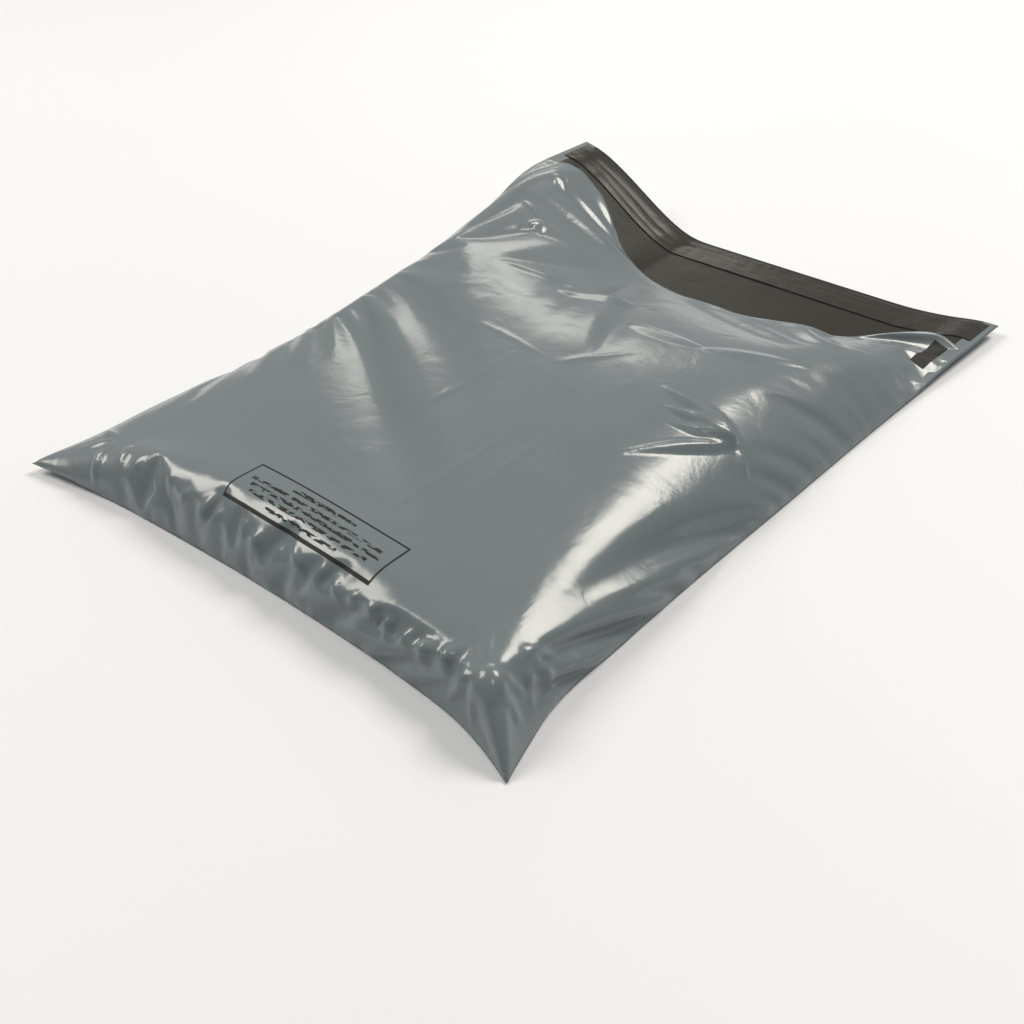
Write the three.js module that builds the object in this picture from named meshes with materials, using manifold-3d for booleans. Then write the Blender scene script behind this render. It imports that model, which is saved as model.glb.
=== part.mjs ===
// A poly mailer bag: an opaque polyethylene postal bag with a peel-and-seal lip.
//
// One sheet of film is folded across the bottom edge and welded down both sides, so the bag is a
// single piece: a back panel, a front panel, and a lip where the back runs on past the mouth.
// A line of hot-melt adhesive crosses the lip under a peel-off release liner.
//
// The empty bag lies on its back with air in it. Its front stands proud in a shallow crown, its
// seams draw in between the four corners, and the corner at -X +Y curls up off the surface.
// Units are millimetres, +Z is up, and +Y points out of the mouth. The origin is on the surface
// that the bag lies on, under the middle of its outline.
import * as THREE from "three";
import { mergeVertices } from "three/addons/utils/BufferGeometryUtils.js";
import Module from "manifold-3d";

const wasm = await Module();
wasm.setup();

// Driving dimensions.
const BAG_WIDTH = 300; // across the corners, as it lies; 305 when pressed flat
const POCKET_LENGTH = 395; // bottom fold to the ends of the side welds; 406 when pressed flat
const LIP_LENGTH = 40; // lip past the side welds
const FILM = 1.0; // stands in for film of 0.07
const WELD_WIDTH = 4; // each side weld and the bottom fold's crease
const WELD_LAP = 0.4; // how far the front layer is fused into the back layer
const WELD_STEP = 0.8; // how far the front layer's edge stops inside the back layer's edge
const SIDE_DRAW = 9; // how far each side seam draws in between the corners
const FOLD_DRAW = 14; // the same for the bottom fold
const MOUTH_SCOOP = 56; // how far the front's mouth edge is drawn back from the weld ends
const SIDE_RISE = 19; // breadth of the flank between a seam and the crown
const FOLD_RISE = 20; // the same along the bottom fold
const CORNER_CURL = 44; // height of the curled corner at -X +Y
const TIP_CURL = 6; // height of the opposite corner at +X +Y
const LINER_WIDTH = 24;
const LINER_INSET = 4; // liner's outer edge to the lip's edge
const ADHESIVE_WIDTH = 14;
const STRIP_THICKNESS = 0.3; // both strips
const STRIP_GAP = 0.3; // clearance that stacked layers keep
const GRID_STEP = 15; // spacing of the grid lines over the open part of a panel

const { clamp, lerp } = THREE.MathUtils;

const halfWidth = BAG_WIDTH / 2;
const halfLength = (POCKET_LENGTH + LIP_LENGTH) / 2;
const weldEnd = halfLength - LIP_LENGTH;

// Height of the front's crown above the back, at stations along +Y: over the middle of the bag and
// beside each flank.
const CROWN = [
  { y: -halfLength, left: 15, middle: 22, right: 30 },
  { y: -60, left: 19, middle: 27, right: 30 },
  { y: 20, left: 33, middle: 28, right: 29 },
  { y: 80, left: 29, middle: 22, right: 26 },
  { y: 130, left: 20, middle: 14, right: 21 },
  { y: weldEnd, left: 13, middle: 13, right: 16 },
];
const CROWN_REACH = 120; // from the middle of the bag to the heights beside the flanks

// Eases from 0 to 1 as t goes from 0 to 1.
const ease = (t) => {
  const c = clamp(t, 0, 1);
  return c * c * (3 - 2 * c);
};

// 0 at both ends of a side and 1 over its middle, so that the corners stay out as ears.
const drawnIn = (t) => Math.pow(Math.sin(Math.PI * clamp(t, 0, 1)), 0.6);

// Plan outline: the side seams, the bottom fold, the front's mouth edge and the lip's edge.
const sideX = (y) => halfWidth - SIDE_DRAW * drawnIn((y + halfLength) / (weldEnd + halfLength));
const foldY = (x) => -halfLength + FOLD_DRAW * drawnIn((x + halfWidth) / BAG_WIDTH);
const lipY = () => halfLength;

// The front's mouth edge is drawn back most over the middle and least at the welds.
const mouthY = (x) => {
  const fromLeft = ease((x + halfWidth - 10) / 110);
  const fromRight = ease((halfWidth - 8 - x) / 75);
  return weldEnd - MOUTH_SCOOP * fromLeft * fromRight;
};

// Height of the back panel's underside: flat on the surface but for the two curled corners. Along
// the lip it depends on x alone.
const backHeight = (x, y) =>
  CORNER_CURL * ease((-x - 60) / 90) * ease((y - 20) / 150) +
  TIP_CURL * ease((x - 90) / 60) * ease((y - 90) / 80);

// Crown height at a point: eased from station to station, and from the middle out to each side.
const crownHeight = (x, y) => {
  const yIn = clamp(y, CROWN[0].y, CROWN.at(-1).y);
  const next = Math.max(1, CROWN.findIndex((station) => station.y >= yIn));
  const [from, to] = [CROWN[next - 1], CROWN[next]];
  const along = ease((yIn - from.y) / (to.y - from.y));
  const side = x < 0 ? "left" : "right";
  const across = ease(Math.abs(x) / CROWN_REACH);
  const heightAt = (station) => lerp(station.middle, station[side], across);
  return lerp(heightAt(from), heightAt(to), along);
};

// How much of the crown stands at a point that is this far inside a seam: 0 on the weld, 1 past it.
const flank = (inside, rise) => ease((inside - WELD_WIDTH) / rise);

// Height of the front panel's underside.
const frontHeight = (x, y) => {
  const side = flank(sideX(y) - Math.abs(x), SIDE_RISE);
  const fold = flank(y - foldY(x), FOLD_RISE);
  return backHeight(x, y) + FILM - WELD_LAP + crownHeight(x, y) * side * fold;
};

// Grid lines along a span, as fractions of it: close together over the seam margins that it has at
// its start and end, then even.
const gridLines = (span, seamAtEnd) => {
  const margin = [0, WELD_WIDTH, 8, 11, 14, 17, 20, 24];
  const end = seamAtEnd ? margin.map((d) => span - d).reverse() : [span];
  const open = end[0] - margin.at(-1);
  const count = Math.ceil(open / GRID_STEP);
  const between = Array.from({ length: count - 1 }, (_, i) => margin.at(-1) + (open * (i + 1)) / count);
  return [...margin, ...between, ...end].map((d) => d / span);
};

// A thin layer: the surface height(x, y) over a plan outline(u, v), filled along the surface normal
// from one offset to another, so that steep flanks are as thick as the crown. It starts as a box
// whose two big faces are divided at the grid lines; the box's shared vertices are merged, so that
// the layer is one closed mesh.
const makeLayer = (linesU, linesV, outline, height, fromOffset, toOffset) => {
  const box = new THREE.BoxGeometry(1, 1, 1, linesU.length - 1, linesV.length - 1, 1);
  box.deleteAttribute("normal");
  box.deleteAttribute("uv");
  const merged = mergeVertices(box, 1e-4);
  const position = merged.getAttribute("position");
  const slopeReach = 0.5;
  for (let i = 0; i < position.count; i++) {
    const u = linesU[Math.round((position.getX(i) + 0.5) * (linesU.length - 1))];
    const v = linesV[Math.round((position.getY(i) + 0.5) * (linesV.length - 1))];
    const offset = position.getZ(i) > 0 ? toOffset : fromOffset;
    const { x, y } = outline(u, v);
    const slopeX = (height(x + slopeReach, y) - height(x - slopeReach, y)) / (2 * slopeReach);
    const slopeY = (height(x, y + slopeReach) - height(x, y - slopeReach)) / (2 * slopeReach);
    const normal = new THREE.Vector3(-slopeX, -slopeY, 1).normalize();
    const p = new THREE.Vector3(x, y, height(x, y)).addScaledVector(normal, offset);
    position.setXYZ(i, p.x, p.y, p.z);
  }
  return merged;
};

// A panel's plan: u runs from seam to seam and v from the bottom fold to a far edge, with the seams
// and the fold held in by an inset.
const panelOutline = (farY, inset) => (u, v) => {
  const yNearby = lerp(-halfLength, farY(lerp(-halfWidth, halfWidth, u)), v);
  const x = lerp(-1, 1, u) * (sideX(yNearby) - inset);
  return { x, y: lerp(foldY(x) + inset, farY(x), v) };
};

const toSolid = (geometry) =>
  new wasm.Manifold(
    new wasm.Mesh({
      numProp: 3,
      vertProperties: geometry.getAttribute("position").array,
      triVerts: new Uint32Array(geometry.index.array),
    }),
  );

const toGeometry = (solid) => {
  const mesh = solid.getMesh();
  return new THREE.BufferGeometry()
    .setAttribute("position", new THREE.BufferAttribute(mesh.vertProperties, 3))
    .setIndex(new THREE.BufferAttribute(mesh.triVerts, 1));
};

const acrossLines = gridLines(BAG_WIDTH, true);

// The film bag: front and back layers fused along the bottom fold and the side welds.
const makeBagFilm = () => {
  const frontLines = gridLines(POCKET_LENGTH, false);
  const backLines = gridLines(POCKET_LENGTH + LIP_LENGTH, false);
  const frontPlan = panelOutline(mouthY, WELD_STEP);
  const backPlan = panelOutline(lipY, 0);
  const front = makeLayer(acrossLines, frontLines, frontPlan, frontHeight, 0, FILM);
  const back = makeLayer(acrossLines, backLines, backPlan, backHeight, 0, FILM);
  return toGeometry(toSolid(front).add(toSolid(back)));
};

// A strip across the lip: this far in from the lip's edge, this wide, and this far above the film.
// It shares the film's grid lines, less the outermost, so that the two never touch where they curl.
const makeLipStrip = (inset, width, above) => {
  const outline = (u, v) => ({
    x: lerp(-halfWidth, halfWidth, u),
    y: halfLength - inset - width + v * width,
  });
  const bottom = FILM + above;
  return makeLayer(acrossLines.slice(1, -1), [0, 1], outline, backHeight, bottom, bottom + STRIP_THICKNESS);
};

const film = new THREE.MeshStandardMaterial({ color: 0x7d8386, roughness: 0.35, metalness: 0 });
const glue = new THREE.MeshStandardMaterial({ color: 0xb9b39a, roughness: 0.5, metalness: 0 });
const liner = new THREE.MeshStandardMaterial({ color: 0x4a4a46, roughness: 0.25, metalness: 0 });

const bagFilm = new THREE.Mesh(makeBagFilm(), film);
bagFilm.name = "bag_film";

const adhesiveInset = LINER_INSET + (LINER_WIDTH - ADHESIVE_WIDTH) / 2;
const adhesive = new THREE.Mesh(makeLipStrip(adhesiveInset, ADHESIVE_WIDTH, STRIP_GAP), glue);
adhesive.name = "closure_adhesive";

const linerAbove = 2 * STRIP_GAP + STRIP_THICKNESS;
const releaseLiner = new THREE.Mesh(makeLipStrip(LINER_INSET, LINER_WIDTH, linerAbove), liner);
releaseLiner.name = "release_liner";

const polyMailer = new THREE.Group();
polyMailer.name = "poly_mailer_bag";
polyMailer.add(bagFilm, adhesive, releaseLiner);

export default polyMailer;
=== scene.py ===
"""A poly mailer bag lying on its back with air in it, in a plain pale studio.

The front panel is simulated as thin film: a grid of points at the film's flat, cut size is pulled
over the pocket of air inside until it lies in folds, and small creases are added to it. The back
panel settles from a smooth sheet under it. Lengths are in millimetres until the meshes are made.
The row frame is x across the bag, y from the bottom fold out of the mouth, z up. The flat film has
its own two coordinates: across the bag from its middle, and length from the bottom fold.
"""
import math

import bpy
import numpy as np
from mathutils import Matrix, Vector


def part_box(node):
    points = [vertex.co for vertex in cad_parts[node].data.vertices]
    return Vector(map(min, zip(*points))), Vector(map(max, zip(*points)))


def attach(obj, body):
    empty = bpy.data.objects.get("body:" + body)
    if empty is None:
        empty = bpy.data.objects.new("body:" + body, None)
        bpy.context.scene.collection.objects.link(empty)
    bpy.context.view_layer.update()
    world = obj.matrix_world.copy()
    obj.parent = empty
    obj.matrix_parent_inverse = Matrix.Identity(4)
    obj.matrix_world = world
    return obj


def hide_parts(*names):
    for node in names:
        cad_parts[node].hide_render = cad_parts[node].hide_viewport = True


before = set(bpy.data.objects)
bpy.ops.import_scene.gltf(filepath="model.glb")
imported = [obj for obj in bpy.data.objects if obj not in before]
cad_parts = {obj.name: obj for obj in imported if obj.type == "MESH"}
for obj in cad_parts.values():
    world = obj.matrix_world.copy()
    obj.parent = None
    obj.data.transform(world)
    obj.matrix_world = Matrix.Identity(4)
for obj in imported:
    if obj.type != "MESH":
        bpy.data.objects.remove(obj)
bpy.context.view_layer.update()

MM = 0.001

# The bag as it lies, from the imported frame.
FILM_BOX = [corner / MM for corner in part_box("bag_film")]
LINER_BOX = [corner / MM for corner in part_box("release_liner")]
ADHESIVE_BOX = [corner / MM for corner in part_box("closure_adhesive")]
HALF_WIDTH = FILM_BOX[1].x
HALF_LENGTH = FILM_BOX[1].y
LIP = 40.0  # the back panel's lip, past the ends of the side welds
WELD_END = HALF_LENGTH - LIP

# The film as it is cut, pressed flat.
FLAT_WIDTH = 308.0
FLAT_LENGTH = 402.0  # bottom fold to the mouth, at the side welds
SHOULDER_LENGTH = 18.0  # from the bottom fold to where the puckers are deepest
SCOOP = 51.0  # how much shorter the front panel is over its middle
SCOOP_LEFT, SCOOP_LEFT_RAMP = -108.0, 95.0  # where the scoop starts, and how far it takes to deepen
SCOOP_RIGHT, SCOOP_RIGHT_RAMP = 140.0, 55.0
SHOULDER_SLACK = 0.022  # how much wider the film has stretched where it puckers along the bottom
MOUTH_TUCK = 0.008  # how much narrower it lies across the mouth
CORNER_TUCKS = ((-1, 0.07), (1, 0.13))  # by side, how much shorter it lies toward each near tip
TUCK_REACH, TUCK_RAMP = 62.0, 30.0
FILM_THICKNESS = 0.16  # a little over the real film's, so that its edges stay visible

FRONT_CELL = 1.6  # spacing of the film's points
BACK_CELL = 2.5
STRIP_CELL = 0.9

CORNER_CURL = 44.0  # height of the curled corner at -x +y
TIP_CURL = 5.0  # height of the corner at +x +y


def ease(t):
    """From 0 to 1 as t goes from 0 to 1, flat at both ends."""
    t = np.clip(t, 0.0, 1.0)
    return t * t * (3.0 - 2.0 * t)


def through(points, at):
    """A smooth curve through rows of (parameter, value, value, ...), read at these parameters."""
    points = np.array(points, float)
    key, values = points[:, 0], points[:, 1:]
    slope = np.gradient(values, key, axis=0)
    at = np.clip(at, key[0], key[-1])
    i = np.clip(np.searchsorted(key, at, side="right") - 1, 0, len(key) - 2)
    span = (key[i + 1] - key[i])[..., None]
    f = (at[..., None] - key[i][..., None]) / span
    return (
        (1 + 2 * f) * (1 - f) ** 2 * values[i]
        + f * (1 - f) ** 2 * span * slope[i]
        + f**2 * (3 - 2 * f) * values[i + 1]
        + f**2 * (f - 1) * span * slope[i + 1]
    )


def along(path, share):
    """Points at these shares, from 0 to 1, of the length of a smooth path through points."""
    path = np.array(path, float)
    run = np.append(0.0, np.cumsum(np.linalg.norm(np.diff(path, axis=0), axis=1)))
    return through(np.column_stack([run / run[-1], path]), share)


def soft_noise(shape, cells, seed):
    """Random heights that vary smoothly over about this many grid cells, with a spread of 1."""
    noise = np.random.default_rng(seed).standard_normal(shape)
    for axis, count in enumerate(np.broadcast_to(cells, 2)):
        reach = max(1, int(round(count / 2)))
        window = np.ones(2 * reach + 1) / (2 * reach + 1)
        for _ in range(2):
            noise = np.apply_along_axis(np.convolve, axis, noise, window, "same")
    return noise / noise.std()


# Where the bag's edges lie, as points along each one.
BOTTOM_FOLD = (
    (-150.0, -217.5, 5.0),
    (-138.0, -214.5, 4.0),
    (-105.5, -208.5, 1.0),
    (-59.0, -205.0, 0.8),
    (-12.0, -203.0, 0.8),
    (39.0, -202.5, 0.8),
    (80.5, -203.5, 0.8),
    (122.0, -208.0, 0.8),
    (138.5, -213.0, 0.8),
    (150.0, -217.5, 0.6),
)
RIGHT_WELD = (
    (150.0, -217.5, 0.6),
    (145.0, -200.0, 0.8),
    (140.5, -182.0, 1.0),
    (139.0, -128.0, 1.0),
    (141.0, -3.0, 1.0),
    (143.0, 81.0, 1.6),
    (147.5, WELD_END, 4.5),
)
LEFT_WELD = (
    (-150.0, -217.5, 5.0),
    (-145.5, -200.0, 3.5),
    (-142.0, -182.0, 2.0),
    (-140.0, -110.0, 1.0),
    (-140.0, -21.0, 3.0),
    (-142.0, 38.0, 12.0),
    (-146.0, 98.0, 28.0),
    (-150.0, 148.0, 40.0),
    (-151.0, WELD_END, 43.0),
)
MOUTH = (
    (-151.0, WELD_END, 43.0),
    (-137.0, 185.0, 44.0),
    (-120.0, 180.0, 38.0),
    (-100.0, 169.0, 29.0),
    (-74.0, 154.0, 17.0),
    (-43.0, 135.0, 12.0),
    (-15.0, 126.0, 11.0),
    (7.0, 123.0, 11.0),
    (54.0, 123.0, 11.0),
    (80.0, 121.0, 12.0),
    (96.0, 138.0, 13.0),
    (115.0, 161.0, 13.5),
    (133.0, 177.0, 11.0),
    (147.5, WELD_END, 4.5),
)

# The air pocket's height over the back panel at stations along y, as (y, left, middle, right).
POCKET_HEIGHT = (
    (-218.0, 13.0, 18.0, 20.0),
    (-200.0, 14.0, 19.5, 22.0),
    (-172.0, 16.0, 23.0, 27.0),
    (-120.0, 19.0, 28.0, 32.0),
    (-60.0, 23.0, 29.0, 32.0),
    (-10.0, 29.0, 29.0, 32.0),
    (25.0, 33.0, 29.0, 32.0),
    (50.0, 32.0, 26.0, 32.0),
    (75.0, 30.0, 17.0, 31.0),
    (100.0, 27.0, 9.0, 26.0),
    (125.0, 23.0, 8.0, 18.0),
    (150.0, 16.0, 7.0, 10.0),
    (178.0, 7.0, 5.0, 6.0),
    (240.0, 5.0, 5.0, 5.0),
)
# The pocket's plan: where its left and right sides and its near end stand.
POCKET_LEFT = ((-206.0, -98.0), (-190.0, -118.0), (-172.0, -131.0), (-120.0, -131.0), (240.0, -133.0))
POCKET_RIGHT = (
    (-206.0, 134.0),
    (-172.0, 129.0),
    (-117.0, 122.0),
    (-60.0, 119.5),
    (-20.0, 122.5),
    (20.0, 117.5),
    (45.0, 114.5),
    (65.0, 119.0),
    (99.0, 128.0),
    (240.0, 134.0),
)
POCKET_NEAR = ((-130.0, -200.0), (0.0, -201.0), (80.0, -201.0), (110.0, -204.0), (136.0, -208.0))
POCKET_CORNER = 5.0  # plan radius of its corners
# How its upper edges round over: breadth in plan, and depth, with the right edge's along y.
LEFT_SHOULDER = (12.0, 10.0)
RIGHT_SHOULDER = ((-208.0, 6.0, 6.0), (-185.0, 13.0, 9.0), (-140.0, 25.0, 13.0), (240.0, 27.0, 13.0))
NEAR_SHOULDER = (9.5, 8.5)
# Where the film is pinched up to a point over it, as (x, y, height, reach).
PINCHES = ((125.0, -196.0, 4.5, 16.0), (-121.0, -186.0, 3.5, 14.0), (115.0, -17.0, 3.0, 16.0))


def back_height(x, y):
    """Height of the back panel: on the floor, but for the two curled corners by the mouth."""
    curl = CORNER_CURL * ease((-x - 50.0) / 100.0) * ease((y - 20.0) / 150.0)
    tip = TIP_CURL * ease((x - 90.0) / 60.0) * ease((y - 90.0) / 80.0)
    return curl + tip


def rounded_edge(inside, shoulder):
    """How far the pocket's top has dropped at this distance inside one of its edges."""
    breadth, depth = shoulder
    turn = 1.0 - np.clip(inside / breadth, 0.0, 1.0)
    return depth * (1.0 - np.sqrt(1.0 - turn**2))


def pocket_height(x, y):
    """Height of the air pocket's top, which the front panel rests on, and the floor outside it."""
    left, middle, right = np.moveaxis(through(POCKET_HEIGHT, y), -1, 0)
    crown = middle + (np.where(x < 0, left, right) - middle) * ease(np.abs(x) / 120.0)
    from_left = x - through(POCKET_LEFT, y)[..., 0]
    from_right = through(POCKET_RIGHT, y)[..., 0] - x
    from_near = y - through(POCKET_NEAR, x)[..., 0]
    from_side = np.minimum(from_left, from_right)
    in_corner = (from_side < POCKET_CORNER) & (from_near < POCKET_CORNER)
    to_centre = np.hypot(POCKET_CORNER - from_side, POCKET_CORNER - from_near)
    inside = np.where(in_corner, POCKET_CORNER - to_centre, np.minimum(from_side, from_near))
    right_shoulder = np.moveaxis(through(RIGHT_SHOULDER, y), -1, 0)
    drop = rounded_edge(from_left, LEFT_SHOULDER) + rounded_edge(from_right, right_shoulder)
    drop = drop + rounded_edge(from_near, NEAR_SHOULDER)
    top = crown - np.minimum(drop, 0.75 * crown)
    for pinch_x, pinch_y, height, reach in PINCHES:
        top = top + height * np.maximum(1.0 - np.hypot(x - pinch_x, y - pinch_y) / reach, 0.0)
    return back_height(x, y) + np.where(inside > 0, top, 0.4)


class HeightMap:
    """A height(x, y) and its slopes, tabled each millimetre so that they are quick to read."""

    MARGIN = 20

    def __init__(self, height):
        self.x = -int(HALF_WIDTH) - self.MARGIN
        self.y = -int(HALF_LENGTH) - self.MARGIN
        xs, ys = np.meshgrid(np.arange(self.x, -self.x + 1.0), np.arange(self.y, -self.y + 1.0))
        heights = height(xs, ys)
        slope_y, slope_x = np.gradient(heights)
        steepest = 3.0
        slope_x, slope_y = (np.clip(s, -steepest, steepest) for s in (slope_x, slope_y))
        self.table = np.stack([heights, slope_x, slope_y], -1).astype(np.float32)

    def read(self, x, y):
        rows, columns = self.table.shape[:2]
        u = np.clip(x - self.x, 0, columns - 2.01)
        v = np.clip(y - self.y, 0, rows - 2.01)
        i, j = u.astype(int), v.astype(int)
        u, v = (u - i)[..., None], (v - j)[..., None]
        low = self.table[j, i] * (1 - u) + self.table[j, i + 1] * u
        high = self.table[j + 1, i] * (1 - u) + self.table[j + 1, i + 1] * u
        return np.moveaxis(low * (1 - v) + high * v, -1, 0)


class Film:
    """A grid of points joined along, across and diagonally, at their distances in a rest shape."""

    DIAGONAL_STIFFNESS = 0.8
    EDGE_STRAIGHTENING = 0.1

    def __init__(self, rest, stretch, points):
        self.rest = rest
        self.stretch = stretch
        self.points = points.astype(np.float32)
        self.speed = np.zeros_like(self.points)
        self.links = []
        rows, columns = points.shape[:2]
        for odd in (0, 1):
            wide = odd + (columns - odd) // 2 * 2
            tall = odd + (rows - odd) // 2 * 2
            lower, upper = slice(odd, tall, 2), slice(odd + 1, tall + 1, 2)
            self._join(np.s_[:, odd:wide:2], np.s_[:, odd + 1 : wide + 1 : 2], 0.5)
            self._join(np.s_[lower, :], np.s_[upper, :], 0.5)
            self._join(np.s_[lower, :-1], np.s_[upper, 1:], 0.5 * self.DIAGONAL_STIFFNESS)
            self._join(np.s_[lower, 1:], np.s_[upper, :-1], 0.5 * self.DIAGONAL_STIFFNESS)

    def _join(self, one, other, share):
        apart = self.rest[other] - self.rest[one]
        apart = np.einsum("...ij,...j", self.stretch[one], apart)
        length = np.linalg.norm(apart, axis=-1).astype(np.float32)
        self.links.append((one, other, length, np.float32(share)))

    def hold_lengths(self):
        points = self.points
        for one, other, length, share in self.links:
            apart = points[other] - points[one]
            distance = np.sqrt(np.einsum("...i,...i", apart, apart)) + 1e-6
            move = apart * (share * (1.0 - length / distance))[..., None]
            points[one] += move
            points[other] -= move

    def resist_bending(self, stiffness):
        """Evens out the curvature, and straightens the mouth edge a little."""
        points = self.points
        bend = np.zeros_like(points)
        bend[1:-1, 1:-1] = around(points)
        spring = np.zeros_like(points)
        spring[1:-1, 1:-1] = around(bend)
        points -= stiffness * spring
        for row in (-1, -2):
            beside = points[row, :-2] + points[row, 2:]
            points[row, 1:-1] += self.EDGE_STRAIGHTENING * (beside - 2 * points[row, 1:-1])

    def normals(self):
        return grid_normals(self.points)


def around(values):
    """How far the four neighbours of each inner point lie from it, summed."""
    beside = values[:-2, 1:-1] + values[2:, 1:-1] + values[1:-1, :-2] + values[1:-1, 2:]
    return beside - 4 * values[1:-1, 1:-1]


def grid_normals(points):
    """The unit normal at each point of a grid that runs along +x and then +y: up, where it is flat."""
    along_row = np.gradient(points, axis=1)
    along_column = np.gradient(points, axis=0)
    normal = np.cross(along_row, along_column)
    return normal / (np.linalg.norm(normal, axis=-1, keepdims=True) + 1e-9)


def refine(points, rows, columns):
    """The same surface on a grid of another size, by smooth interpolation."""
    for count in (rows, columns):
        at = np.linspace(0, len(points) - 1, count)
        i = np.clip(at.astype(int), 0, len(points) - 2)
        f = (at - i)[:, None, None]
        before, after = np.clip(i - 1, 0, None), np.clip(i + 2, None, len(points) - 1)
        a, b, c, d = points[before], points[i], points[i + 1], points[after]
        points = b + 0.5 * f * (c - a + f * (2 * a - 5 * b + 4 * c - d + f * (3 * (b - c) + d - a)))
        points = points.transpose(1, 0, 2)
    return points


# --- The front panel ---------------------------------------------------------------------------


def front_flat(cell):
    """The front panel's flat coordinates, from the bottom fold to the scooped mouth."""
    columns = int(round(FLAT_WIDTH / cell)) + 1
    rows = int(round(FLAT_LENGTH / cell)) + 1
    across = np.linspace(-FLAT_WIDTH / 2, FLAT_WIDTH / 2, columns)
    left_ramp = ease((across - SCOOP_LEFT) / SCOOP_LEFT_RAMP)
    right_ramp = ease((SCOOP_RIGHT - across) / SCOOP_RIGHT_RAMP)
    scoop = SCOOP * left_ramp * right_ramp
    length = np.linspace(0, 1, rows)[:, None] * (FLAT_LENGTH - scoop)
    return np.stack([np.broadcast_to(across, length.shape), length], -1)


NEAR_REACH = 60.0  # how soon the bottom fold's own curve fades out up the bag
EDGE_SLOPE_WIDTH = 26.0  # how far inside the edges a panel starts at its full height


def between_edges(flat, left, right, near, height):
    """A smooth surface over the plan that three edges frame, at height(x, y) inside them."""
    share = (flat[..., 0] / FLAT_WIDTH + 0.5)[..., None]
    points = left[:, None] * (1 - share) + right[:, None] * share
    fading = np.exp(-flat[..., 1:] / NEAR_REACH)
    points = points + (near - points[0]) * fading
    x, y = points[..., 0], points[..., 1]
    from_side = np.minimum(x - left[:, None, 0], right[:, None, 0] - x)
    inside = ease(np.minimum(from_side, y - near[:, 1]) / EDGE_SLOPE_WIDTH)
    points[..., 2] += (height(x, y) - points[..., 2]) * inside
    return points


def edge_points(flat):
    """Where the front panel's left and right welds, its bottom fold and its mouth are held."""
    left = along(LEFT_WELD, flat[:, 0, 1] / FLAT_LENGTH)
    right = along(RIGHT_WELD, flat[:, -1, 1] / FLAT_LENGTH)
    near = along(BOTTOM_FOLD, flat[0, :, 0] / FLAT_WIDTH + 0.5)
    run = np.append(0.0, np.cumsum(np.linalg.norm(np.diff(flat[-1], axis=0), axis=1)))
    mouth = along(MOUTH, run / run[-1])
    return left, right, near, mouth


def front_start(flat):
    """Where the front panel starts, before it settles: smooth, on top of the pocket."""
    left, right, near, _ = edge_points(flat)
    points = between_edges(flat, left, right, near, pocket_height)
    # The scooped rows end short of the welds, so each point takes its y from its own length.
    share = flat[..., 0] / FLAT_WIDTH + 0.5
    length = flat[..., 1]
    left_y = along(LEFT_WELD, length / FLAT_LENGTH)[..., 1]
    right_y = along(RIGHT_WELD, length / FLAT_LENGTH)[..., 1]
    points[..., 1] = left_y * (1 - share) + right_y * share
    points[..., 1] += (near[:, 1] - points[0, :, 1]) * np.exp(-length / NEAR_REACH)
    return points


def front_stretch(flat):
    """How the film has stretched or gathered since it was cut: a matrix for each point."""
    across, length = flat[..., 0], flat[..., 1]
    stretch = np.zeros((*flat.shape[:2], 2, 2)) + np.eye(2)
    shoulder = np.exp(-(((length - 20.0) / 14.0) ** 2)) * ease((132.0 - np.abs(across)) / 25.0)
    mouth = ease((length - 290.0) / 90.0)
    stretch[..., 0, 0] += SHOULDER_SLACK * shoulder - MOUTH_TUCK * mouth
    for side, tuck in CORNER_TUCKS:
        # Toward the corner's tip the film is tucked along the diagonal.
        from_tip = np.hypot(FLAT_WIDTH / 2 - side * across, length)
        tip = tuck * ease((TUCK_REACH - from_tip) / TUCK_RAMP)[..., None, None]
        diagonal = np.array([side, -1.0]) / math.sqrt(2)
        stretch -= tip * np.outer(diagonal, diagonal)
    return stretch


def puckers(flat, size, seed):
    """Short waves that run back from the bottom fold, and fade out past the shoulder."""
    random = np.random.default_rng(seed + 100)
    across = flat[0, :, 0]
    wave = np.zeros_like(across)
    for length in (17.0, 13.0, 11.0, 9.0):
        phase, drift = random.uniform(0, 2 * math.pi, 2)
        wave += np.sin(2 * math.pi * across / length + phase + 1.5 * np.sin(across / 31.0 + drift))
    fade = np.exp(-(((flat[..., 1] - SHOULDER_LENGTH) / 14.0) ** 2))
    return size * 0.8 * wave * fade * (1.0 + 0.7 * np.sin(across / 19.0 + drift))


KEPT_SPEED = 0.9  # the share of its speed that the film keeps from one step to the next
SPEED_LIMIT = 2.0
EDGE_PULL = 0.5  # how far each closed edge is pulled toward its place in each round
MOUTH_PULL = 0.1  # the same for the mouth, in each step
STIFFNESS = 0.005
SMOOTHING = 1.0 / 64.0  # takes out waves that are two points long
LIFTED_LENGTH = 110.0  # the air's push fades out over this length before the mouth


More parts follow.
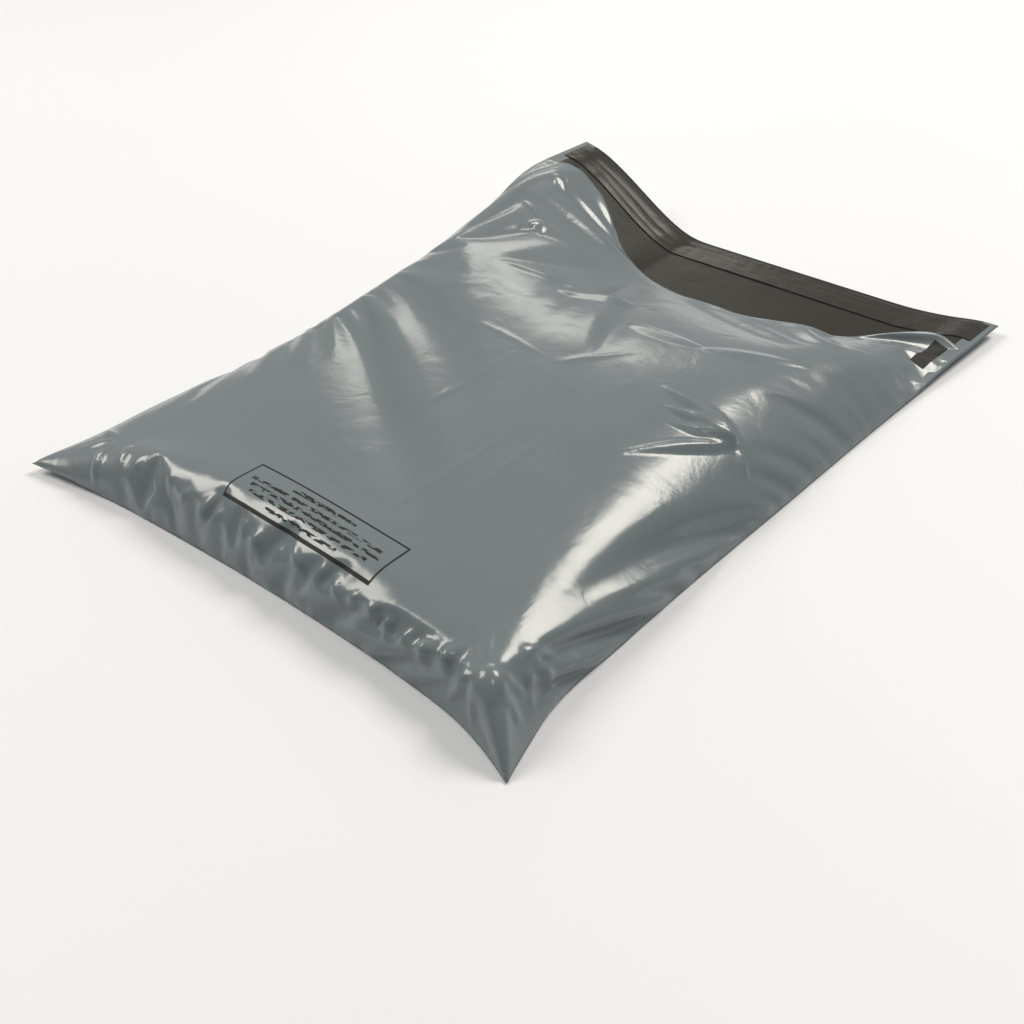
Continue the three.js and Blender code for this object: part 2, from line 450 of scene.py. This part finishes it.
def relax_front(flat, points, pocket, steps, rounds, push, ripple, seed):
    """Lets the front panel settle over the air pocket, its three closed edges held in place."""
    film = Film(flat, front_stretch(flat), points)
    rows, columns = points.shape[:2]
    left, right, near, mouth = (edge.astype(np.float32) for edge in edge_points(flat))
    cell = FLAT_WIDTH / (columns - 1)
    film.points[1:-1, 1:-1, 2] += ripple * soft_noise((rows, columns), 10 / cell, seed)[1:-1, 1:-1]
    film.points[1:-1, 1:-1] += puckers(flat, ripple, seed)[1:-1, 1:-1, None] * film.normals()[1:-1, 1:-1]
    from_mouth = flat[-1, :, 1] - flat[..., 1]
    inflated = ease(from_mouth / LIFTED_LENGTH).astype(np.float32)[..., None]
    weight = push * (1.0 - inflated) * np.array([0, 0, 1], np.float32)
    push = push * inflated
    for _ in range(steps):
        before = film.points.copy()
        film.points += KEPT_SPEED * film.speed + push * film.normals() - weight
        film.points[-1] += MOUTH_PULL * (mouth - film.points[-1])
        for _ in range(rounds):
            film.hold_lengths()
            film.points[:, 0] += EDGE_PULL * (left - film.points[:, 0])
            film.points[:, -1] += EDGE_PULL * (right - film.points[:, -1])
            film.points[0] += EDGE_PULL * (near - film.points[0])
        film.resist_bending(STIFFNESS)
        rest_on(pocket, film.points)
        film.speed = np.clip(film.points - before, -SPEED_LIMIT, SPEED_LIMIT)
    for _ in range(4):
        film.resist_bending(SMOOTHING)
    return film.points


def rest_on(surface, points):
    """Moves each point that has sunk into the surface back out of it, along its slope."""
    height, slope_x, slope_y = surface.read(points[..., 0], points[..., 1])
    sunk = np.maximum(height - points[..., 2], 0.0) / (1.0 + slope_x**2 + slope_y**2)
    points[..., 2] += sunk
    points[..., 0] -= sunk * slope_x
    points[..., 1] -= sunk * slope_y


def make_front_film():
    """The front panel's flat grid, and the same points where they come to rest."""
    pocket = HeightMap(pocket_height)
    points = None
    # From coarse to fine: spacing, steps, rounds of holding lengths, push of the air, ripple.
    levels = (
        (5 * FRONT_CELL, 260, 12, 0.0016, 1.0),
        (2.2 * FRONT_CELL, 240, 10, 0.001, 0.5),
        (FRONT_CELL, 200, 8, 0.0006, 0.25),
    )
    for seed, (cell, steps, rounds, push, ripple) in enumerate(levels):
        flat = front_flat(cell)
        points = front_start(flat) if points is None else refine(points, *flat.shape[:2])
        points = relax_front(flat, points, pocket, steps, rounds, push, ripple, seed)
    return flat, points


# --- Creases -----------------------------------------------------------------------------------

# Stars of creases, as (centre in the flat film, (direction in degrees, length, half width) ...).
STARS = (
    (
        (120.0, 28.0),
        ((-40, 44, 7.0), (-74, 27, 4.0), (-112, 26, 4.0), (14, 24, 3.4), (-14, 30, 4.0), (128, 26, 2.4)),
    ),
    ((123.0, 45.0), ((-30, 28, 3.4), (4, 28, 3.8), (36, 26, 3.0))),
    ((-119.0, 33.0), ((-76, 32, 4.0), (-135, 24, 3.2), (172, 26, 3.0))),
    (
        (118.0, 207.0),
        ((174, 50, 7.0), (192, 42, 6.0), (158, 30, 4.6), (210, 38, 5.0), (238, 66, 5.0), (-30, 22, 3.0)),
    ),
    ((-122.0, 374.0), ((-24, 16, 2.6), (-60, 14, 2.2), (30, 12, 2.2))),
    ((-92.0, 326.0), ((165, 26, 2.8), (-60, 18, 2.6), (-105, 22, 3.0))),
)
# Drips over the shoulder by the bottom fold, as (across and length of the top, of the foot, half width).
DRIPS = (
    (-104.0, 31.0, -98.0, 15.0, 3.4),
    (-90.0, 28.0, -91.0, 14.0, 2.6),
    (-78.0, 26.0, -74.0, 14.0, 2.6),
    (-67.0, 27.0, -64.0, 12.0, 2.8),
    (-53.0, 25.0, -56.0, 12.0, 2.4),
    (-37.0, 29.0, -43.0, 7.0, 4.6),
    (-30.0, 25.0, -36.0, 11.0, 3.2),
    (-15.0, 26.0, -12.0, 13.0, 2.8),
    (-4.0, 26.0, -8.0, 3.0, 4.4),
    (9.0, 25.0, 6.0, 14.0, 2.6),
    (15.0, 28.0, 26.0, 15.0, 3.4),
    (36.0, 28.0, 29.0, 13.0, 3.4),
    (41.0, 26.0, 50.0, 14.0, 3.2),
    (56.0, 26.0, 52.0, 13.0, 3.0),
)
# Long soft folds, as (start, end, half width) in the flat film.
LONG_FOLDS = (
    ((18.0, 259.0), (70.0, 264.0), 8.0),
    ((62.0, 262.0), (112.0, 292.0), 8.0),
    ((-32.0, 262.0), (16.0, 302.0), 9.0),
    ((-72.0, 262.0), (-24.0, 282.0), 6.0),
    ((-34.0, 200.0), (24.0, 191.0), 2.6),
    ((22.0, 191.0), (46.0, 236.0), 3.0),
    ((30.0, 66.0), (44.0, 150.0), 3.4),
    ((52.0, 84.0), (58.0, 168.0), 3.0),
    ((-12.0, 110.0), (4.0, 196.0), 3.0),
    ((98.0, 54.0), (112.0, 34.0), 2.4),
)
# How steep their sides are.
CREASE_SLOPE = 0.5
FOLD_SLOPE = 0.17
ZIGZAG_START, ZIGZAG_END = 62.0, 116.0


def leaf_ridge(flat, start, end, width):
    """A ridge with flat sides from start to end, pointed at both ends and widest in between."""
    run = np.subtract(end, start)
    length = np.hypot(*run)
    offset = flat - np.array(start)
    share = (offset @ run) / length**2
    aside = np.abs(offset @ np.array([-run[1], run[0]])) / length
    breadth = width * np.sin(math.pi * np.clip(share, 0.0, 1.0) ** 0.7)
    return np.maximum(breadth - aside, 0.0)


def crease_heights(flat):
    """The small sharp creases of handled film, as heights along its normals."""
    heights = np.zeros(flat.shape[:2])
    for centre, rays in STARS:
        for degrees, length, width in rays:
            angle = math.radians(degrees)
            end = (centre[0] + length * math.cos(angle), centre[1] + length * math.sin(angle))
            heights += CREASE_SLOPE * leaf_ridge(flat, centre, end, width)
    for top_across, top, foot_across, foot, width in DRIPS:
        heights += CREASE_SLOPE * leaf_ridge(flat, (top_across, top), (foot_across, foot), width)
    # A zigzag of small ones runs on from the drips to the near right corner.
    random = np.random.default_rng(7)
    across, leaning = ZIGZAG_START, 1
    while across < ZIGZAG_END:
        top = (across, random.uniform(23, 27) + 6.0 * ease((across - 80.0) / 30.0))
        foot = (across + leaning * random.uniform(4, 8), random.uniform(11, 15))
        heights += CREASE_SLOPE * leaf_ridge(flat, top, foot, random.uniform(2.8, 3.8))
        across += random.uniform(4, 6)
        leaning = -leaning
    for start, end, width in LONG_FOLDS:
        heights += FOLD_SLOPE * leaf_ridge(flat, start, end, width)
    return heights


# --- The back panel and its lip ----------------------------------------------------------------


# How the lip's left and right edges run on past the welds, for each millimetre of length.
LIP_LEFT_RUN = np.array([0.05, 1.0, 0.02])
LIP_RIGHT_RUN = np.array([0.04, 1.0, 0.02])
BACK_STRETCH = 1.006  # how much wider than its smooth start the panel is, which leaves it rippled
BACK_RIPPLE = 0.4
BACK_STEPS = 220
BACK_ROUNDS = 6
BACK_KEPT_SPEED = 0.85
BACK_STIFFNESS = 0.01
BACK_PULL, LIP_PULL = 0.03, 0.01  # how far it is pulled toward its smooth start in each step


def read_edge(at, key, edge):
    """The points of an edge at these parameters, given its points at the parameters in key."""
    return np.stack([np.interp(at, key, edge[:, axis]) for axis in range(3)], -1)


def make_back_film(front_flat_grid, front):
    """The back panel, lying under the front one, and the lip that runs on past the mouth."""
    columns = int(round(FLAT_WIDTH / BACK_CELL)) + 1
    rows = int(round((FLAT_LENGTH + LIP) / BACK_CELL)) + 1
    across = np.linspace(-FLAT_WIDTH / 2, FLAT_WIDTH / 2, columns)
    length = np.linspace(0, FLAT_LENGTH + LIP, rows)
    flat = np.stack(np.meshgrid(across, length), -1)
    left = read_edge(length, front_flat_grid[:, 0, 1], front[:, 0])
    right = read_edge(length, front_flat_grid[:, 0, 1], front[:, -1])
    near = read_edge(across, front_flat_grid[0, :, 0], front[0])
    past = np.maximum(length - FLAT_LENGTH, 0.0)[:, None]
    left += past * LIP_LEFT_RUN
    right += past * LIP_RIGHT_RUN
    start = between_edges(flat, left, right, near, back_height)
    held = start.astype(np.float32)
    # The panel keeps the lengths of its smooth start, a little stretched, and not of its flat cut.
    rest = start.copy()
    rest[..., 0] *= BACK_STRETCH
    film = Film(rest, np.broadcast_to(np.eye(3), (rows, columns, 3, 3)), start)
    inner = np.s_[1:-1, 1:-1]
    film.points[inner][..., 2] += BACK_RIPPLE * np.abs(soft_noise((rows, columns), 5, 11))[inner]
    floor = 0.5 * FILM_THICKNESS
    closed = length <= FLAT_LENGTH
    pull = np.where(closed, BACK_PULL, LIP_PULL).astype(np.float32)[:, None, None]
    for _ in range(BACK_STEPS):
        before = film.points.copy()
        film.points += BACK_KEPT_SPEED * film.speed
        for _ in range(BACK_ROUNDS):
            film.hold_lengths()
            film.points[closed, 0] = held[closed, 0]
            film.points[closed, -1] = held[closed, -1]
            film.points[0] = held[0]
        film.resist_bending(BACK_STIFFNESS)
        film.points += pull * (held - film.points)
        film.points[..., 2] = np.maximum(film.points[..., 2], floor)
        film.speed = np.clip(film.points - before, -SPEED_LIMIT, SPEED_LIMIT)
    return flat, film.points


# --- Meshes ------------------------------------------------------------------------------------


def grid_faces(rows, columns, first=0):
    """The faces of a grid of vertices, and the grid of their numbers, which start at first."""
    index = np.arange(rows * columns).reshape(rows, columns) + first
    corners = [index[:-1, :-1], index[:-1, 1:], index[1:, 1:], index[1:, :-1]]
    return np.stack(corners, -1).reshape(-1, 4), index


def rims(outer, inner):
    """The faces that close a shell along its four edges, from its two sides' vertex numbers."""
    edges = ((np.s_[0, :], 1), (np.s_[-1, :], -1), (np.s_[:, 0], -1), (np.s_[:, -1], 1))
    for edge, turn in edges:
        top, low = outer[edge], inner[edge]
        yield np.stack([top[1:], top[:-1], low[:-1], low[1:]], -1)[:, ::turn]


def shell(points, thickness):
    """A closed shell round a grid of points: vertices, faces, and which faces are the inner side."""
    normal = grid_normals(points)
    rows, columns = points.shape[:2]
    outer = (points + 0.5 * thickness * normal).reshape(-1, 3)
    inner = (points - 0.5 * thickness * normal).reshape(-1, 3)
    outer_faces, outer_index = grid_faces(rows, columns)
    inner_faces, inner_index = grid_faces(rows, columns, rows * columns)
    # Each face splits into triangles from its first corner: along the crease, on both sides alike.
    a, b, c, d = (normal.reshape(-1, 3)[outer_faces[:, corner]] for corner in range(4))
    turned = (np.einsum("ij,ij->i", b, d) > np.einsum("ij,ij->i", a, c))[:, None]
    outer_faces = np.where(turned, np.roll(outer_faces, -1, axis=1), outer_faces)
    inner_faces = np.where(turned, np.roll(inner_faces, -1, axis=1), inner_faces)
    inner_faces = inner_faces[:, [0, 3, 2, 1]]
    faces = np.concatenate([outer_faces, inner_faces, *rims(outer_index, inner_index)])
    is_inner = np.zeros(len(faces), bool)
    is_inner[len(outer_faces) : 2 * len(outer_faces)] = True
    return np.concatenate([outer, inner]), faces, is_inner


def make_object(name, vertices, faces, flat, slots, materials):
    """A smooth mesh object from millimetres, with the film's flat coordinates as its UV map."""
    mesh = bpy.data.meshes.new(name)
    mesh.from_pydata((vertices * MM).tolist(), [], faces.tolist())
    for material in materials:
        mesh.materials.append(material)
    mesh.polygons.foreach_set("material_index", slots.astype(np.int32))
    mesh.polygons.foreach_set("use_smooth", np.ones(len(faces), bool))
    corners = np.empty(len(mesh.loops), np.int32)
    mesh.loops.foreach_get("vertex_index", corners)
    layer = mesh.uv_layers.new(name="flat")
    layer.data.foreach_set("uv", (flat[corners] * MM).astype(np.float32).ravel())
    mesh.update()
    obj = bpy.data.objects.new(name, mesh)
    bpy.context.scene.collection.objects.link(obj)
    return obj


def make_bag(outside, inside):
    """The two panels, each grey on the outside of the bag and near black on the inside of it."""
    flat, front = make_front_film()
    back_flat, back = make_back_film(flat, front)
    front = front + crease_heights(flat)[..., None] * grid_normals(front)
    panels = (("front_panel", flat, front, False), ("back_panel", back_flat, back, True))
    for name, cut, points, upper_side_is_inside in panels:
        vertices, faces, underside = shell(points, FILM_THICKNESS)
        dark = ~underside if upper_side_is_inside else underside
        both_sides = np.concatenate([cut.reshape(-1, 2)] * 2)
        panel = make_object(name, vertices, faces, both_sides, dark, [outside, inside])
        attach(panel, "root")
        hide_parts("bag_film")
    return back


def make_strip(name, node, slot, box, back, material, above, thickness, wrinkle, seed):
    """A strip across the lip, over the film, where its CAD node lies; wrinkle is its crinkles' height."""
    low, high = box
    rows, columns = int((high.y - low.y) / STRIP_CELL) + 1, int((high.x - low.x) / STRIP_CELL) + 1
    reach = FLAT_WIDTH / 2 - (HALF_WIDTH - high.x)
    across = np.linspace(-reach, reach, columns)
    far = FLAT_LENGTH + LIP - (HALF_LENGTH - high.y)
    length = np.linspace(far - (high.y - low.y), far, rows)
    base = sample_grid(back, length / (FLAT_LENGTH + LIP), across / FLAT_WIDTH + 0.5)
    ripples = soft_noise((rows, columns), (4, 70), seed)
    crinkle = np.abs(ripples) + 0.5 * np.abs(soft_noise((rows, columns), 8, seed + 1))
    points = base + (above + wrinkle * crinkle)[..., None] * grid_normals(base)
    vertices, faces, _ = shell(points, thickness)
    flat = np.stack(np.meshgrid(across, length), -1).reshape(-1, 2)
    slots = np.zeros(len(faces))
    strip = make_object(name, vertices, faces, np.concatenate([flat, flat]), slots, [material])
    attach(strip, "root")
    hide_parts(node)


def sample_grid(points, row_share, column_share):
    """The surface read at shares, from 0 to 1, of its rows and of its columns."""
    rows, columns = points.shape[:2]
    v, u = row_share * (rows - 1), column_share * (columns - 1)
    i = np.clip(v.astype(int), 0, rows - 2)[:, None]
    j = np.clip(u.astype(int), 0, columns - 2)[None, :]
    f, g = (v[:, None] - i)[..., None], (u[None, :] - j)[..., None]
    near = points[i, j] * (1 - g) + points[i, j + 1] * g
    far = points[i + 1, j] * (1 - g) + points[i + 1, j + 1] * g
    return near * (1 - f) + far * f


# --- Materials ---------------------------------------------------------------------------------


class Nodes:
    """Builds one material's node tree."""

    def __init__(self, name, color, roughness, gloss=0.5):
        self.material = bpy.data.materials.new(name)
        self.material.use_nodes = True
        self.tree = self.material.node_tree
        self.shader = self.tree.nodes["Principled BSDF"]
        self.shader.inputs["Base Color"].default_value = (*color, 1.0)
        self.shader.inputs["Roughness"].default_value = roughness
        self.shader.inputs["Specular IOR Level"].default_value = gloss

    def add(self, kind, inputs=(), **settings):
        node = self.tree.nodes.new("ShaderNode" + kind)
        for key, value in settings.items():
            setattr(node, key, value)
        for key, value in dict(inputs).items():
            self.feed(node.inputs[key], value)
        return node

    def feed(self, socket, value):
        if isinstance(value, bpy.types.NodeSocket):
            self.tree.links.new(value, socket)
        else:
            socket.default_value = value

    def math(self, operation, a, b=0.0, c=0.0):
        node = self.add("Math", operation=operation)
        for socket, value in zip(node.inputs, (a, b, c)):
            self.feed(socket, value)
        return node.outputs[0]

    def mix(self, factor, under, over):
        node = self.add("Mix", data_type="RGBA")
        self.feed(node.inputs[0], factor)
        colors = [socket for socket in node.inputs if socket.type == "RGBA"]
        for socket, value in zip(colors, (under, over)):
            self.feed(socket, value)
        return next(socket for socket in node.outputs if socket.type == "RGBA")

    def noise(self, scale, detail, vector, distortion=0.0):
        inputs = {"Scale": scale, "Detail": detail, "Vector": vector, "Distortion": distortion}
        return self.add("TexNoise", inputs).outputs["Fac"]

    def bump(self, height, distance, strength=1.0, under=None):
        node = self.add("Bump", {"Height": height, "Distance": distance, "Strength": strength})
        if under is not None:
            self.feed(node.inputs["Normal"], under)
        return node.outputs["Normal"]


def box_mask(nodes, across, length, low, high):
    """1 inside a rectangle of the flat film, given in millimetres."""
    inside = 1.0
    for value, start, end in ((across, low[0], high[0]), (length, low[1], high[1])):
        inside = nodes.math("MULTIPLY", inside, nodes.math("GREATER_THAN", value, start * MM))
        inside = nodes.math("MULTIPLY", inside, nodes.math("LESS_THAN", value, end * MM))
    return inside


# What is printed, in the flat film: the black mark by the mouth, and the box near the bottom fold.
BLACK_MARK = ((136.5, 367.0), (145.5, 397.0))
PRINT_LOW, PRINT_HIGH = (-35.0, 29.0), (57.0, 54.0)
PRINT_LINE, PRINT_HEAVY_LINE = 1.0, 1.9
# The rows of marks in the printed box, as (length, start, end, height); they spell nothing.
PRINT_ROWS = (
    (47.6, -8.0, 30.0, 2.6),
    (43.4, -30.0, 50.0, 1.9),
    (39.8, -27.0, 52.0, 1.9),
    (36.2, -24.0, 48.0, 1.9),
    (32.6, -10.0, 34.0, 1.9),
)


def outside_material():
    """Grey satin film with its print; the pressed lines of its welds are bumped and carry painted
    highlights.
    """
    nodes = Nodes("film_outside", (0.157, 0.187, 0.2), 0.25)
    uv = nodes.add("UVMap", uv_map="flat").outputs["UV"]
    split = nodes.add("SeparateXYZ", {"Vector": uv})
    across, length = split.outputs["X"], split.outputs["Y"]

    ink = box_mask(nodes, across, length, *BLACK_MARK)
    outer = box_mask(nodes, across, length, PRINT_LOW, PRINT_HIGH)
    inner_low = (PRINT_LOW[0] + PRINT_LINE, PRINT_LOW[1] + PRINT_HEAVY_LINE)
    inner_high = (PRINT_HIGH[0] - PRINT_LINE, PRINT_HIGH[1] - PRINT_LINE)
    inner = box_mask(nodes, across, length, inner_low, inner_high)
    ink = nodes.math("MAXIMUM", ink, nodes.math("SUBTRACT", outer, inner))
    word_scale = nodes.add("Mapping", {"Vector": uv, "Scale": (1.0, 3.0, 1.0)}).outputs["Vector"]
    words = nodes.math("GREATER_THAN", nodes.noise(260.0, 3.0, word_scale), 0.47)
    for y, start, end, tall in PRINT_ROWS:
        row = box_mask(nodes, across, length, (start, y), (end, y + tall))
        ink = nodes.math("MAXIMUM", ink, nodes.math("MULTIPLY", row, words))

    side = nodes.math("ABSOLUTE", across)
    edge = nodes.math("SUBTRACT", FLAT_WIDTH / 2 * MM, side)
    weld = nodes.math("LESS_THAN", edge, 4.0 * MM)
    pitch = nodes.math("SINE", nodes.math("MULTIPLY", length, 2 * math.pi / (1.6 * MM)))
    crimp = nodes.math("MULTIPLY", weld, nodes.math("MULTIPLY_ADD", pitch, 0.5, 0.5))

    tint = nodes.add("ValToRGB", {"Fac": nodes.noise(9.0, 3.0, uv)})
    tint.color_ramp.elements[0].position, tint.color_ramp.elements[1].position = 0.3, 0.7
    tint.color_ramp.elements[0].color = (0.148, 0.178, 0.192, 1)
    tint.color_ramp.elements[1].color = (0.166, 0.195, 0.207, 1)
    # The weld's crimp is painted paler in the base colour: painted highlights on its pressed ridges, on
    # top of their bump.
    pale = nodes.mix(nodes.math("MULTIPLY", crimp, 0.1), tint.outputs["Color"], (0.4, 0.4, 0.38, 1))
    color = nodes.mix(ink, pale, (0.002, 0.002, 0.002, 1))
    nodes.feed(nodes.shader.inputs["Base Color"], color)

    scuff = nodes.noise(60.0, 4.0, uv)
    film_roughness = nodes.math("MULTIPLY_ADD", scuff, 0.12, 0.14)
    nodes.feed(nodes.shader.inputs["Roughness"], nodes.math("MULTIPLY_ADD", ink, 0.5, film_roughness))

    broad = nodes.bump(nodes.noise(38.0, 3.0, uv, 0.8), 0.0008, 0.6)
    fine = nodes.bump(nodes.noise(420.0, 2.0, uv), 0.00006, 0.5, broad)
    pressed = nodes.bump(crimp, 0.00015, 0.5, fine)
    nodes.feed(nodes.shader.inputs["Normal"], pressed)
    return nodes.material


def inside_material():
    """The bag's near-black inside, with the outside's grey along the edges of the lip."""
    nodes = Nodes("film_inside", (0.026, 0.026, 0.022), 0.4, 0.12)
    uv = nodes.add("UVMap", uv_map="flat").outputs["UV"]
    split = nodes.add("SeparateXYZ", {"Vector": uv})
    edge = nodes.math("SUBTRACT", FLAT_WIDTH / 2 * MM, nodes.math("ABSOLUTE", split.outputs["X"]))
    margin = nodes.math("LESS_THAN", edge, 8.5 * MM)
    tint = nodes.add("ValToRGB", {"Fac": nodes.noise(30.0, 4.0, uv)})
    tint.color_ramp.elements[0].color = (0.021, 0.021, 0.018, 1)
    tint.color_ramp.elements[1].color = (0.033, 0.033, 0.028, 1)
    color = nodes.mix(margin, tint.outputs["Color"], (0.145, 0.172, 0.184, 1))
    nodes.feed(nodes.shader.inputs["Base Color"], color)
    broad = nodes.bump(nodes.noise(50.0, 3.0, uv, 0.8), 0.0008, 0.6)
    fine = nodes.bump(nodes.noise(500.0, 2.0, uv), 0.00008, 0.6, broad)
    nodes.feed(nodes.shader.inputs["Normal"], fine)
    rough = nodes.math("MULTIPLY_ADD", nodes.noise(70.0, 4.0, uv), 0.12, 0.36)
    nodes.feed(nodes.shader.inputs["Roughness"], rough)
    return nodes.material


def liner_material():
    """Near-black glossy film, drawn into creases along the strip."""
    nodes = Nodes("liner_film", (0.03, 0.03, 0.026), 0.25, 0.14)
    uv = nodes.add("UVMap", uv_map="flat").outputs["UV"]
    stretched = nodes.add("Mapping", {"Vector": uv, "Scale": (0.1, 1.5, 1.0)}).outputs["Vector"]
    crease = nodes.noise(170.0, 4.0, stretched, 1.0)
    nodes.feed(nodes.shader.inputs["Normal"], nodes.bump(crease, 0.0004, 0.6))
    tint = nodes.add("ValToRGB", {"Fac": nodes.noise(60.0, 4.0, stretched)})
    tint.color_ramp.elements[0].color = (0.022, 0.022, 0.019, 1)
    tint.color_ramp.elements[1].color = (0.045, 0.045, 0.039, 1)
    nodes.feed(nodes.shader.inputs["Base Color"], tint.outputs["Color"])
    rough = nodes.math("MULTIPLY_ADD", nodes.noise(90.0, 3.0, uv), 0.16, 0.2)
    nodes.feed(nodes.shader.inputs["Roughness"], rough)
    return nodes.material


def adhesive_material():
    """Dull dark glue with an uneven face."""
    nodes = Nodes("hot_melt", (0.07, 0.067, 0.055), 0.35)
    uv = nodes.add("UVMap", uv_map="flat").outputs["UV"]
    tint = nodes.add("ValToRGB", {"Fac": nodes.noise(80.0, 3.0, uv)})
    tint.color_ramp.elements[0].color = (0.055, 0.053, 0.044, 1)
    tint.color_ramp.elements[1].color = (0.085, 0.082, 0.068, 1)
    nodes.feed(nodes.shader.inputs["Base Color"], tint.outputs["Color"])
    nodes.feed(nodes.shader.inputs["Normal"], nodes.bump(nodes.noise(300.0, 3.0, uv), 0.0003, 0.6))
    return nodes.material


# --- Studio ------------------------------------------------------------------------------------


def make_floor():
    """A plain pale floor that reaches past every view."""
    size, step = 3.0, 0.5
    count = int(2 * size / step) + 1
    line = np.linspace(-size, size, count)
    xs, ys = np.meshgrid(line, line)
    points = np.stack([xs, ys, np.zeros_like(xs)], -1).reshape(-1, 3)
    faces, _ = grid_faces(count, count)
    mesh = bpy.data.meshes.new("studio_floor")
    mesh.from_pydata(points.tolist(), [], faces.tolist())
    nodes = Nodes("studio_floor", (0.745, 0.765, 0.8), 0.6)
    place = nodes.add("TexCoord").outputs["Object"]
    rough = nodes.math("MULTIPLY_ADD", nodes.noise(3.0, 2.0, place), 0.1, 0.55)
    nodes.feed(nodes.shader.inputs["Roughness"], rough)
    mesh.materials.append(nodes.material)
    floor = bpy.data.objects.new("studio_floor", mesh)
    bpy.context.scene.collection.objects.link(floor)


def softbox(name, direction, distance, size, watts, color):
    """An area light in this direction from the bag, facing it."""
    lamp = bpy.data.lights.new(name, "AREA")
    lamp.shape = "RECTANGLE"
    lamp.size, lamp.size_y = size
    lamp.energy = watts
    lamp.color = color
    box = bpy.data.objects.new(name, lamp)
    bpy.context.scene.collection.objects.link(box)
    box.location = Vector(direction).normalized() * distance
    box.rotation_euler = box.location.to_track_quat("Z", "Y").to_euler()


def make_studio():
    """The floor, a white surround and four soft lights."""
    bpy.context.scene.view_settings.view_transform = "Standard"
    make_floor()
    world = bpy.data.worlds.new("studio")
    world.use_nodes = True
    world.node_tree.nodes["Background"].inputs["Color"].default_value = (1.0, 1.0, 1.0, 1.0)
    world.node_tree.nodes["Background"].inputs["Strength"].default_value = 0.27
    bpy.context.scene.world = world
    warm = (1.0, 0.95, 0.86)
    softbox("key_softbox", (0.16, 0.61, 0.775), 2.6, (1.0, 1.0), 46.0, warm)
    softbox("left_softbox", (-0.65, -0.28, 0.71), 2.6, (1.2, 1.1), 38.0, warm)
    softbox("far_softbox", (-0.58, 0.72, 0.38), 2.6, (1.1, 0.45), 5.0, warm)
    softbox("top_softbox", (0.36, -0.18, 0.91), 2.6, (0.55, 0.55), 6.0, warm)


def make_camera():
    """The camera stands off the near right-hand corner, looking down at the bag."""
    azimuth, elevation = math.radians(40.3), math.radians(36.6)
    target = Vector((47.0, -93.0, 0.0)) * MM
    distance = 550.0 * MM
    toward = Vector((math.sin(azimuth), -math.cos(azimuth), math.tan(elevation))).normalized()
    data = bpy.data.cameras.new("camera")
    data.sensor_width = 36.0
    data.lens = 41.9
    camera = bpy.data.objects.new("camera", data)
    bpy.context.scene.collection.objects.link(camera)
    camera.location = target + toward * distance
    camera.rotation_euler = (math.pi / 2 - elevation, 0.0, azimuth)
    bpy.context.scene.camera = camera


make_camera()
make_studio()
back = make_bag(outside_material(), inside_material())
adhesive = ("adhesive_line", "closure_adhesive", "adhesive", ADHESIVE_BOX, back, adhesive_material())
make_strip(*adhesive, above=0.2, thickness=0.1, wrinkle=0.0, seed=21)
liner = ("liner_strip", "release_liner", "liner", LINER_BOX, back, liner_material())
make_strip(*liner, above=0.45, thickness=0.1, wrinkle=0.16, seed=31)
